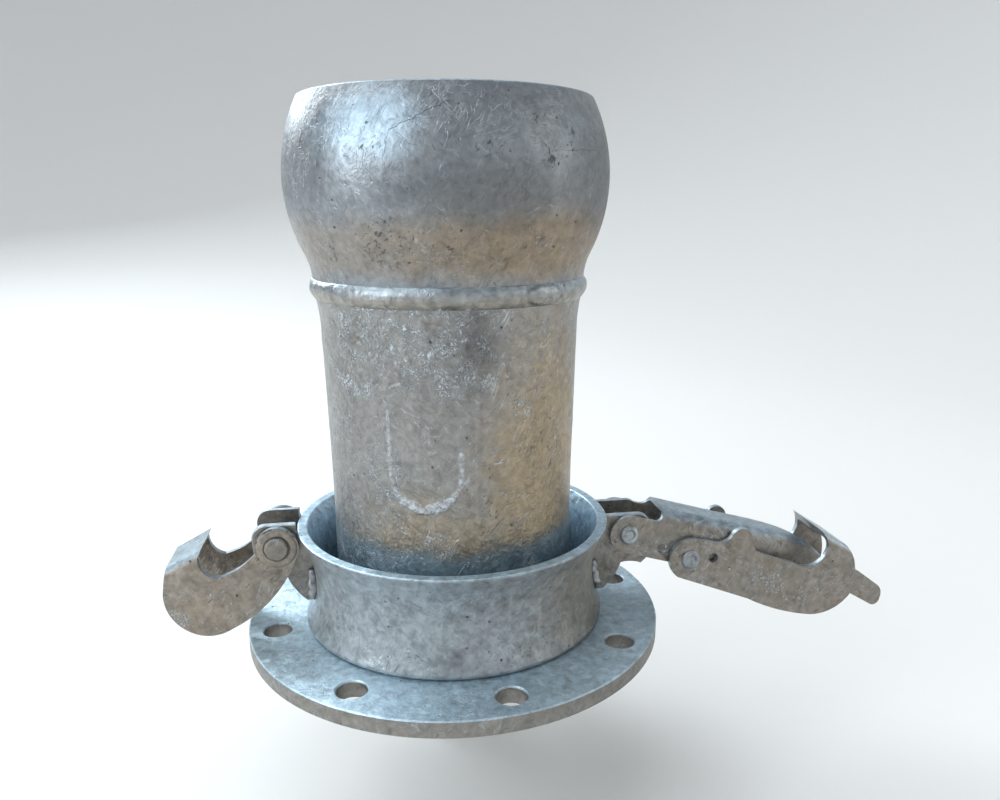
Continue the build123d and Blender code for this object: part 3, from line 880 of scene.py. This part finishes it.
@dataclass
class Pipe:
    """The pipe with its rough zinc crust, its dried run and its long seam."""

    finish: Zinc = PipeZinc("pipe_coat", cool=(0.31, 0.37, 0.40), side=(0.275, 0.275, 0.27), warm=(0.35, 0.28, 0.19),
                            pale=(0.74, 0.80, 0.86), mottle=1.0, relief_depth=0.0013, nick_cover=0.75,
                            spangle_size=0.016, spangle=0.07, scratch_cover=0.75, frost_cover=0.30, clouding=0.35,
                            roughness=0.38, lump_height=0.3, streaks=0.22, offset=0.37)
    outer: list[tuple[float, float]] = field(default_factory=lambda: [
        (96.5, 4.0), (96.5, 133.5), (99.2, 252.0), (99.6, 261.0), (100.6, 269.0), (103.0, 282.0)])
    wall: float = 4.0
    wave_height: float = 0.00018
    crust_height: float = 0.0013
    run_height: float = 0.00075
    run_middle: tuple[float, float] = (-17.0, 0.160)
    run_half: tuple[float, float] = (15.5, 0.026)
    run_arms: tuple[float, float] = (0.205, 0.176)
    run_width: float = 0.0026

    def build(self) -> None:
        """Build the crusted pipe and dress the seam."""
        coat = self.finish.make()
        inner = [(radius - self.wall, height) for radius, height in reversed(self.outer)]
        outer_cuts = [70, 90, 4, 4, 6]
        inner_cuts = [2, 2, 2, 4, 4]
        mesh = spun_shell(self.outer + inner, outer_cuts + [1] + inner_cuts + [1], 440)
        mesh.verts.layers.float.new("crust")
        mesh.verts.layers.float.new("run")
        crust_record, run_record = mesh.verts.layers.float["crust"], mesh.verts.layers.float["run"]
        mesh.normal_update()
        for vertex in mesh.verts:
            angle, distance, level = round_axis(vertex.co)
            if distance < (self.outer[0][0] - 0.5 * self.wall) * MM or vertex.normal.dot(
                    Vector((vertex.co.x, vertex.co.y, 0.0))) <= 0.0:
                continue
            lump, run = self._crust(vertex.co, angle, level), self._run(vertex.co, angle, level)
            wave = self.wave_height * drift(vertex.co, 0.030, 4.0)
            vertex[crust_record] = self._rough(vertex.co, angle, level)
            vertex[run_record] = min(1.0, run * 1.3)
            vertex.co += vertex.normal * (wave + self.crust_height * lump + self.run_height * run)
        add_piece("pipe_crusted", mesh, coat, Body.BASE, ["pipe_stub"])
        dress("pipe_seam_weld", coat)

    @staticmethod
    def _rough(point: Vector, angle: float, level: float) -> float:
        """How rough the coat is at a point, from 0 to 1: most at the upper left of the front."""
        edge = 16.0 * drift(point, 0.018, 5.0)
        low = 0.203 + 0.014 * drift(point, 0.022, 6.0)
        inside = fade(angle + edge, -66.0, -50.0) * fade(angle + edge, 18.0, -4.0) * fade(level, low, low + 0.020)
        stray = fade(drift(point, 0.040, 9.0), 0.25, 0.5) * 0.30
        return max(inside * (0.35 + 0.65 * fade(level, 0.212, 0.245)), stray)

    def _crust(self, point: Vector, angle: float, level: float) -> float:
        """How high the rough crust stands at a point, from 0 to about 1."""
        broad, fine = abs(drift(point, 0.0100, 7.0)), abs(drift(point, 0.0062, 8.0))
        crests = max(fade(broad, 0.20, 0.02), 0.7 * fade(fine, 0.2, 0.02))
        return self._rough(point, angle, level) * crests * fade(drift(point, 0.013, 14.0), -0.35, 0.25)

    def _run(self, point: Vector, angle: float, level: float) -> float:
        """How high the dried U-shaped run stands at a point, from 0 to 1."""
        middle_angle, middle_level = self.run_middle
        half_angle, half_level = self.run_half
        radius = self.outer[0][0] * MM
        across = (angle - middle_angle) / half_angle
        if level < middle_level:
            down = (level - middle_level) / half_level
            reach = math.hypot(across, down)
            distance = abs(reach - 1.0) * min(half_level, math.radians(half_angle) * radius)
        else:
            distance = abs(abs(across) - 1.0) * math.radians(half_angle) * radius
            top = self.run_arms[0] if across < 0.0 else self.run_arms[1]
            distance += max(0.0, level - top)
        if distance > 3.0 * self.run_width:
            return 0.0
        low = fade(level, 0.152, 0.134)
        width = self.run_width * (1.0 + 1.1 * low + 0.7 * drift(point, 0.012, 10.0))
        body = fade(distance + 0.0009 * drift(point, 0.003, 12.0), width, 0.2 * width)
        broken = fade(drift(point, 0.005, 11.0) + 0.5 * drift(point, 0.0022, 13.0), -0.95 - 0.2 * low, 0.15)
        return body * broken * (0.65 + 0.35 * low)


@dataclass
class NeckBead:
    """The round weld between pipe and ball neck, with the lap where it was started and ended."""

    finish: Zinc = Zinc("bead_coat", cool=(0.56, 0.68, 0.76), side=(0.33, 0.37, 0.40), warm=(0.27, 0.225, 0.165),
                        warm_share=0.7, lump_height=0.9, frost_cover=0.5, roughness=0.34, offset=1.21)
    profile: list[tuple[float, float]] = field(default_factory=lambda: [
        (100.6, 275.5), (102.6, 276.6), (105.0, 279.8), (106.3, 282.8), (106.5, 285.8), (105.8, 288.8),
        (104.2, 291.4), (102.6, 292.0), (100.6, 284.0)])
    lap_angle: float = 33.0
    lap_height: float = 0.2845
    lap_half_angle: float = 9.0
    lap_half_height: float = 0.0075
    lap_rise: float = 0.0017

    def build(self) -> None:
        """Build the bead."""
        mesh = spun_shell(self.profile, [0, 2, 3, 2, 2, 2, 0, 1, 1], 420)

        def height_at(point: Vector) -> float:
            """Lumps, fine ripples and the lap; none at the root."""
            angle, distance, level = round_axis(point)
            clear = fade(distance, 0.1022, 0.1040)
            swell = 0.00055 * drift(point, 0.022, 1.0) + 0.00038 * drift(point, 0.005, 2.0)
            ripple = 0.00007 * math.sin(math.radians(angle) * 110.0 + 6.0 * drift(point, 0.03, 3.0))
            along = (angle - self.lap_angle) / self.lap_half_angle
            across = (level - self.lap_height) / self.lap_half_height
            lap = self.lap_rise * fade(math.hypot(along, across) + 0.25 * drift(point, 0.01, 4.0), 1.0, 0.75)
            return clear * (swell + ripple + lap)

        push_out(mesh, height_at)
        add_piece("neck_bead", mesh, self.finish.make(), Body.BASE, ["neck_weld"])


@dataclass
class Ball:
    """The hollow ball head."""

    finish: Zinc = BallZinc("ball_coat", cool=(0.42, 0.54, 0.63), side=(0.265, 0.285, 0.305),
                            warm=(0.28, 0.225, 0.165), spangle_size=0.014, spangle=0.08, scratch_cover=0.60,
                            frost_cover=0.25, roughness=0.36, pit_cover=0.8, nick_cover=0.8, mottle=0.95,
                            lump_height=0.25, streaks=0.18, offset=0.59)
    radius: float = 0.1215
    centre: float = 0.3639
    steps: int = 8
    ridge_rise: float = 0.00016
    ridge_root: float = -0.0003
    wrinkle: tuple[tuple[float, float], ...] = (
        (-2.4, 0.4070), (-10.4, 0.4010), (-15.4, 0.3951), (-19.9, 0.3917), (-22.3, 0.3883), (-23.5, 0.3825),
        (-23.7, 0.3766), (-24.2, 0.3636))
    nick: tuple[tuple[float, float], ...] = ((24.0, 0.3850), (26.5, 0.3785), (29.1, 0.3718), (29.9, 0.3690))
    seam: tuple[tuple[float, float], ...] = ((33.0, 0.3780), (40.0, 0.3786), (48.0, 0.3794), (56.0, 0.3800))

    def build(self) -> None:
        """Dress the ball and lay its wrinkles."""
        dress("ball_head", self.finish.make())
        dark = Zinc("wrinkle_coat", cool=(0.10, 0.10, 0.11), side=(0.07, 0.07, 0.07), warm=(0.07, 0.06, 0.05),
                    pale=(0.20, 0.21, 0.22), roughness=0.6, offset=0.66).make()
        mesh = bmesh.new()
        for path, width in ((self.wrinkle, 0.00042), (self.nick, 0.00055), (self.seam, 0.00026)):
            self._ridge(mesh, path, width)
        add_piece("ball_wrinkles", mesh, dark, Body.BASE)

    def _ridge(self, mesh: bmesh.types.BMesh, path: Sequence[tuple[float, float]], width: float) -> None:
        """Add a thin wandering ridge that follows the ball.

        Args:
            mesh: The mesh that takes it.
            path: Its turns, as angles round the axis and heights.
            width: Half its width in metres.
        """
        line: list[tuple[float, float]] = []
        for start, end in zip(path, path[1:]):
            for step in range(self.steps):
                share = step / self.steps
                angle, height = (start[0] + (end[0] - start[0]) * share, start[1] + (end[1] - start[1]) * share)
                spot = self._on_ball(angle, height, 0.0)
                line.append((angle + 1.1 * drift(spot, 0.004, 1.0), height + 0.0011 * drift(spot, 0.003, 2.0)))
        level = abs(path[0][0] - path[-1][0]) > 15.0
        rows: list[list[bmesh.types.BMVert]] = []
        for index, (angle, height) in enumerate(line):
            thick = width * math.sin(math.pi * (index + 0.4) / len(line)) ** 0.4
            rise, turn = (thick, 0.0) if level else (0.0, math.degrees(thick / self.radius))
            rows.append([
                mesh.verts.new(self._on_ball(angle + side * turn, height + side * rise, above))
                for side, above in ((-1.0, self.ridge_root), (0.0, self.ridge_rise), (1.0, self.ridge_root))])
        for lower, upper in zip(rows, rows[1:]):
            for near in range(3):
                far = (near + 1) % 3
                mesh.faces.new((lower[near], lower[far], upper[far], upper[near]))
        mesh.faces.new(rows[0])
        mesh.faces.new(rows[-1])
        bmesh.ops.recalc_face_normals(mesh, faces=mesh.faces[:])

    def _on_ball(self, angle: float, height: float, above: float) -> Vector:
        """A point on the ball's outside, or a hair above or below it.

        Args:
            angle: Degrees round the axis from the front.
            height: Its height.
            above: How far it stands above the surface.

        Returns:
            The point.
        """
        turn = math.radians(angle)
        out = math.sqrt((self.radius + above) ** 2 - (height - self.centre) ** 2)
        return Vector((out * math.sin(turn), -out * math.cos(turn), height))


# ---------------------------------------------------------------- ring and ears


@dataclass
class ClosingRing:
    """The loose waisted ring."""

    finish: Zinc = RingZinc("ring_coat", cool=(0.52, 0.70, 0.84), side=(0.34, 0.37, 0.39),
                            warm=(0.27, 0.245, 0.21), painted_sheen_share=1.0, spangle_size=0.010, scratch_cover=0.6,
                            frost_cover=0.35, pit_cover=1.0, lump_height=0.45, roughness=0.42, nick_cover=0.8,
                            offset=0.71)

    def build(self) -> None:
        """Dress the ring."""
        dress("collar_band", self.finish.make())


@dataclass
class Ears:
    """The four ears and the lumpy beads that hold them to the ring."""

    finish: Zinc = PlateZinc("ear_coat", cool=(0.46, 0.55, 0.61), side=(0.25, 0.25, 0.245), warm=(0.245, 0.21, 0.165),
                             warm_share=0.5, roughness=0.45, frost_cover=0.4, offset=1.57)
    bead_finish: Zinc = Zinc("ear_bead_coat", cool=(0.46, 0.54, 0.59), side=(0.30, 0.31, 0.32), lump_height=1.0,
                             frost_cover=0.5, offset=1.91)
    voxel: float = 0.0008
    softening: int = 8
    lump: float = 0.0024

    def build(self) -> None:
        """Dress the ears and build their beads."""
        coat = self.finish.make()
        bead = self.bead_finish.make()
        for side in ("left", "right"):
            for row in ("front", "rear"):
                ear = f"{side}_ear_{row}"
                dress(ear, coat)
                node = f"{ear}_weld"
                add_piece(f"{ear}_bead", self._bead(node), bead, Body.CARRIER, [node])

    def _bead(self, node: str) -> bmesh.types.BMesh:
        """A lumpy copy of a CAD weld.

        Args:
            node: The CAD node to copy.

        Returns:
            The bead's bmesh.
        """
        mesh = bmesh.new()
        mesh.from_mesh(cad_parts[node].data)
        bmesh.ops.remove_doubles(mesh, verts=mesh.verts[:], dist=MERGE_DISTANCE)
        rough = bpy.data.meshes.new(f"{node}_rough")
        mesh.to_mesh(rough)
        mesh.free()
        helper = link_object(f"{node}_rough", rough)
        remesh = helper.modifiers.new("Even", "REMESH")
        remesh.mode = "VOXEL"
        remesh.voxel_size = self.voxel
        even = bpy.data.meshes.new_from_object(helper.evaluated_get(bpy.context.evaluated_depsgraph_get()))
        bpy.data.objects.remove(helper)
        bpy.data.meshes.remove(rough)
        worked = bmesh.new()
        worked.from_mesh(even)
        bpy.data.meshes.remove(even)
        for _ in range(self.softening):
            bmesh.ops.smooth_vert(worked, verts=worked.verts[:], factor=0.5, use_axis_x=True, use_axis_y=True,
                                  use_axis_z=True)
        levels = [vertex.co.z for vertex in worked.verts]
        middle, half = (max(levels) + min(levels)) / 2.0, (max(levels) - min(levels)) / 2.0
        push_out(worked, lambda point: self.lump * (0.5 + 1.1 * drift(point, 0.0060, 1.0)) * fade(
            abs(point.z - middle), half, 0.3 * half))
        return worked


# ---------------------------------------------------------------- latches


@dataclass
class ZincCrumbs:
    """Crumbs of zinc that froze on the cheeks of a plate part, in clusters."""

    name: str
    node: str
    body: Body
    clusters: list[tuple[float, float, float, int]]
    seed: int
    coat: str
    coat_offset: float
    smallest: float = 0.00035
    largest: float = 0.0011
    flatness: float = 0.40
    bare_rim: float = 2.5
    probe: float = 0.01
    unevenness: float = 0.0002

    def build(self) -> None:
        """Scatter the crumbs over both outer cheeks."""
        finish = Zinc(self.coat, cool=(0.52, 0.57, 0.62), side=(0.42, 0.44, 0.45), warm=(0.36, 0.33, 0.29),
                      roughness=0.50, offset=self.coat_offset)
        chance = random.Random(self.seed)
        tree = BVHTree.FromObject(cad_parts[self.node], bpy.context.evaluated_depsgraph_get())
        reach = max(abs(corner.y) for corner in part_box(self.node))
        mesh = bmesh.new()
        for x, z, spread, count in self.clusters:
            for index in range(count):
                side = -1.0 if index % 2 == 0 else 1.0
                size = self.smallest + (self.largest - self.smallest) * chance.random() ** 2
                spot = Vector((chance.gauss(x, spread), side * reach, chance.gauss(z, spread * 0.55)))
                shape = Vector((0.7 + 1.2 * chance.random(), self.flatness, 0.7 + 0.8 * chance.random()))
                turn = Matrix.Rotation(math.pi * chance.random(), 3, "Y")
                if self._on_cheek(tree, spot, side, self.bare_rim * size):
                    crumb = bmesh.ops.create_icosphere(mesh, subdivisions=1, radius=size)
                    set_down(mesh, crumb["verts"], shape, turn, spot)
        push_out(mesh, lambda point: 0.00012 * drift(point, 0.0009, 1.0))
        add_piece(self.name, mesh, finish.make(), self.body)

    def _on_cheek(self, tree: BVHTree, spot: Vector, side: float, margin: float) -> bool:
        """Whether a crumb would lie wholly on the cheek.

        Args:
            tree: The plate's surface.
            spot: The crumb's place.
            side: -1 for the front cheek and 1 for the rear one.
            margin: How far the cheek has to reach round it.

        Returns:
            True if it would.
        """
        for x, z in ((margin, 0.0), (-margin, 0.0), (0.0, margin), (0.0, -margin)):
            start = spot + Vector((x, side * self.probe, z))
            hit, _, _, distance = tree.ray_cast(start, Vector((0.0, -side, 0.0)))
            if hit is None or abs(distance - self.probe) > self.unevenness:
                return False
        return True


@dataclass
class PlainHook:
    """The left latch: a folded hook on its rivet."""

    finish: Zinc = PlateZinc("hook_coat", cool=(0.27, 0.33, 0.37), side=(0.27, 0.265, 0.25), warm=(0.29, 0.235, 0.18),
                             warm_share=0.65, roughness=0.42, frost_cover=0.45, scratch_cover=0.7, pit_cover=0.9,
                             pins=((-0.1416, 0.0841, 0.0160),), offset=2.13)
    rivet_finish: Zinc = Zinc("rivet_coat", cool=(0.30, 0.30, 0.30), side=(0.25, 0.235, 0.215),
                              warm=(0.24, 0.20, 0.16), warm_share=0.7, roughness=0.46, lump_height=0.5, offset=2.57)
    pin: tuple[float, float] = (-0.1416, 0.0841)
    boss_inner: float = 0.0099
    boss_outer: float = 0.0160
    boss_height: float = 0.0008
    boss_steps: int = 64
    slits: tuple[tuple[float, float], ...] = ((-0.1657, 0.0544), (-0.1950, 0.0439))
    slit_length: float = 0.0062
    slit_shape: Triple = (1.0, 0.018, 0.065)
    slit_tilt: float = -45.0

    def build(self) -> None:
        """Dress the hook and its rivet and add its bosses, slits and crumbs."""
        coat = self.finish.make()
        dress("left_hook", coat)
        dress("left_hook_rivet", self.rivet_finish.make())
        add_piece("left_hook_bosses", self._bosses(), coat, Body.PLAIN_HOOK)
        # The slits' near-black coat is painted shade standing in for their depth.
        dark = Zinc("slit_shade_coat", cool=(0.06, 0.055, 0.05), side=(0.05, 0.045, 0.04), warm=(0.05, 0.04, 0.035),
                    pale=(0.12, 0.11, 0.10), roughness=0.7, offset=2.9).make()
        add_piece("left_hook_slits", self._slits(), dark, Body.PLAIN_HOOK)
        clusters = [(-0.2235, 0.0335, 0.0045, 120), (-0.2175, 0.0265, 0.0045, 100), (-0.1860, 0.0350, 0.0180, 20)]
        ZincCrumbs("left_hook_crumbs", "left_hook", Body.PLAIN_HOOK, clusters, 11, "crumb_coat", 2.77).build()

    def _bosses(self) -> bmesh.types.BMesh:
        """The low round boss that the rivet's head pressed up on each cheek.

        Returns:
            Both bosses in one mesh.
        """
        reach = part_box("left_hook")[1].y
        mesh = bmesh.new()
        for side in (-1.0, 1.0):
            line = [
                (self.pin[0] + radius, side * (reach + height), self.pin[1])
                for radius, height in (
                    (self.boss_inner, -0.0004), (self.boss_inner, 0.7 * self.boss_height),
                    (self.boss_inner + 0.0008, self.boss_height), (self.boss_outer - 0.0022, self.boss_height),
                    (self.boss_outer - 0.0008, 0.5 * self.boss_height), (self.boss_outer, -0.0001),
                    (self.boss_outer, -0.0004))
            ]
            spin_loop(mesh, line, (0.0, 1.0, 0.0), (self.pin[0], 0.0, self.pin[1]), self.boss_steps)
        return close_up(mesh)

    def _slits(self) -> bmesh.types.BMesh:
        """Two short tool nicks on the front cheek, drawn as dark strips of painted shade.

        Returns:
            The nicks' mesh, a hair proud of the cheek.
        """
        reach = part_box("left_hook")[0].y
        turn = Matrix.Rotation(math.radians(self.slit_tilt), 3, "Y")
        mesh = bmesh.new()
        for x, z in self.slits:
            made = bmesh.ops.create_uvsphere(mesh, u_segments=12, v_segments=8, radius=self.slit_length / 2.0)
            set_down(mesh, made["verts"], self.slit_shape, turn, (x, reach, z))
        return mesh


@dataclass
class LeverLatch:
    """The right latch: a lever, the hook it carries, and their rivets."""

    lever_finish: Zinc = PlateZinc("lever_coat", cool=(0.34, 0.42, 0.48), side=(0.26, 0.26, 0.255),
                                   warm=(0.25, 0.21, 0.165), warm_share=0.6, roughness=0.40, scratch_cover=0.9,
                                   frost_cover=0.4, offset=2.91)
    hook_finish: Zinc = PlateZinc("pull_hook_coat", cool=(0.46, 0.55, 0.61), side=(0.26, 0.255, 0.245),
                                  warm=(0.26, 0.22, 0.175), warm_share=0.6, roughness=0.42, frost_cover=0.45,
                                  scratch_cover=0.7, pit_cover=0.9, pins=((0.1986, 0.0516, 0.0095),), offset=3.33)
    rivet_finish: Zinc = Zinc("lever_rivet_coat", cool=(0.46, 0.54, 0.60), side=(0.34, 0.37, 0.39),
                              warm=(0.25, 0.23, 0.20), warm_share=0.2, roughness=0.40, lump_height=0.5, offset=3.71)

    def build(self) -> None:
        """Dress the lever, its hook and the rivets, and add the crumbs."""
        dress("lever_handle", self.lever_finish.make())
        dress("lever_hook", self.hook_finish.make())
        rivet = self.rivet_finish.make()
        dress("lever_rivet", rivet)
        dress("lever_hook_rivet", rivet)
        clusters = [(0.268, 0.0305, 0.0065, 90), (0.280, 0.0180, 0.0070, 80), (0.296, 0.0110, 0.0080, 70),
                    (0.316, 0.0120, 0.0080, 60), (0.336, 0.0240, 0.0050, 30), (0.309, 0.0340, 0.0035, 26),
                    (0.250, 0.0400, 0.0120, 24)]
        ZincCrumbs("lever_hook_crumbs", "lever_hook", Body.PULL_HOOK, clusters, 23, "lever_crumb_coat", 3.91).build()


# ---------------------------------------------------------------- studio


@dataclass
class Studio:
    """A pale floor that sweeps up all round, soft lights and the camera."""

    eye: Triple = (-0.05994, -0.64611, 0.34369)
    heading: float = 9.04
    pitch: float = 14.424
    roll: float = -0.0019
    lens: float = 29.70
    shift: tuple[float, float] = (-0.0041, 0.0176)
    stand_radius: float = 0.030
    stand_back: float = 0.060
    floor_level: float = -0.134
    floor_radius: float = 1.9
    wall_radius: float = 3.2
    wall_height: float = 0.8
    floor_colour: Colour = (0.86, 0.86, 0.85)
    overhead: float = 1.2
    overhead_spread: float = 1.2
    overhead_colour: Colour = (0.95, 0.98, 1.0)
    overhead_tilt: Triple = (-12.0, -18.0, 0.0)
    target: Triple = (0.05, 0.0, 0.20)
    room_colour: Colour = (0.90, 0.95, 1.0)
    room_light: float = 0.37
    gap: float = 0.0001
    lights: list[tuple[str, Triple, float, float, Colour]] = field(default_factory=lambda: [
        ("left_softbox", (-1.35, -0.85, 1.10), 1.5, 12.0, (0.86, 0.94, 1.0)),
        ("low_left_softbox", (-1.50, -0.60, 0.60), 0.8, 4.0, (0.88, 0.95, 1.0)),
        ("right_softbox", (1.40, -0.45, 0.60), 0.9, 1.7, (1.0, 0.95, 0.88)),
        ("rear_softbox", (-1.35, 1.95, 1.75), 1.6, 47.0, (0.88, 0.95, 1.0)),
    ])

    def build(self) -> None:
        """Build the stage, the lights and the camera."""
        self._floor()
        self._world()
        sun = bpy.data.lights.new("overhead", "SUN")
        sun.energy = self.overhead
        sun.angle = self.overhead_spread
        sun.color = self.overhead_colour
        link_object("overhead", sun).rotation_euler = tuple(math.radians(tilt) for tilt in self.overhead_tilt)
        target = Vector(self.target)
        for name, place, size, power, colour in self.lights:
            lamp = bpy.data.lights.new(name, "AREA")
            lamp.shape = "SQUARE"
            lamp.size = size
            lamp.energy = power
            lamp.color = colour
            holder = link_object(name, lamp)
            holder.location = place
            holder.rotation_euler = (target - Vector(place)).to_track_quat("-Z", "Y").to_euler()
        self._camera()

    def _floor(self) -> None:
        """Lay the floor, which sweeps up all round, and a slim stand under the flange.

        The lever swings well below the flange, so the floor lies low enough to leave it room.
        """
        low = self.floor_level
        graph = Graph("studio_floor")
        tone = graph.mix(graph.grain(0.02, 3.0), tuple(c * 0.985 for c in self.floor_colour), self.floor_colour)
        material = graph.shade({"Base Color": tone, "Roughness": 0.9})

        sweep = bmesh.new()
        middle, edge = sweep.verts.new((0.0, 0.0, low)), sweep.verts.new((self.floor_radius, 0.0, low))
        sweep.edges.new((middle, edge))
        curve = bmesh.ops.spin(sweep, geom=[edge], axis=(0.0, -1.0, 0.0), angle=math.pi / 2.0, steps=12,
                               cent=(self.floor_radius, 0.0, low + self.wall_radius))
        top = [item for item in curve["geom_last"] if isinstance(item, bmesh.types.BMVert)]
        rise = bmesh.ops.extrude_vert_indiv(sweep, verts=top)
        bmesh.ops.translate(sweep, verts=rise["verts"], vec=(0.0, 0.0, self.wall_height))
        bmesh.ops.spin(sweep, geom=sweep.verts[:] + sweep.edges[:], axis=UPWARD, cent=ORIGIN, angle=math.tau,
                       steps=96, use_merge=True)
        close_up(sweep, 10.0 * MERGE_DISTANCE)
        if sum(face.normal.z for face in sweep.faces) < 0.0:
            bmesh.ops.reverse_faces(sweep, faces=sweep.faces[:])

        stand = bmesh.new()
        bmesh.ops.create_cone(stand, cap_ends=True, segments=120, radius1=self.stand_radius,
                              radius2=self.stand_radius, depth=-self.gap - low)
        bmesh.ops.translate(stand, verts=stand.verts[:], vec=(0.0, self.stand_back, (low - self.gap) / 2.0))
        rims = [edge for edge in stand.edges if abs(edge.verts[0].co.z - edge.verts[1].co.z) < MERGE_DISTANCE]
        bmesh.ops.bevel(stand, geom=rims, affect="EDGES", offset=0.001, segments=2, profile=0.5, material=-1)
        for name, mesh in (("floor", sweep), ("stand", stand)):
            data = bpy.data.meshes.new(name)
            for face in mesh.faces:
                face.smooth = name == "floor"
            mesh.to_mesh(data)
            mesh.free()
            data.materials.append(material)
            link_object(name, data)

    def _world(self) -> None:
        """Light the room evenly with a pale background."""
        world = bpy.data.worlds.new("room")
        world.use_nodes = True
        background = world.node_tree.nodes["Background"]
        background.inputs[0].default_value = (*self.room_colour, 1.0)
        background.inputs[1].default_value = self.room_light
        bpy.context.scene.world = world
        bpy.context.scene.view_settings.view_transform = "Standard"

    def _camera(self) -> None:
        """Place the camera."""
        camera = bpy.data.cameras.new("camera")
        camera.sensor_width = 36.0
        camera.lens = self.lens
        camera.shift_x, camera.shift_y = self.shift
        camera.clip_start = 0.01
        holder = link_object("camera", camera)
        turn = (
            Matrix.Rotation(-math.radians(self.heading), 4, "Z")
            @ Matrix.Rotation(math.radians(90.0 - self.pitch), 4, "X")
            @ Matrix.Rotation(self.roll, 4, "Z")
        )
        holder.matrix_world = Matrix.Translation(self.eye) @ turn
        bpy.context.scene.camera = holder


def main() -> None:
    """Build and dress the coupling and its studio."""
    logging.basicConfig(level=logging.INFO, format="%(name)s: %(message)s")
    Studio().build()
    for assembly in (Flange(), Pipe(), NeckBead(), Ball(), ClosingRing(), Ears(), PlainHook(), LeverLatch()):
        assembly.build()


if __name__ == "__main__":
    main()
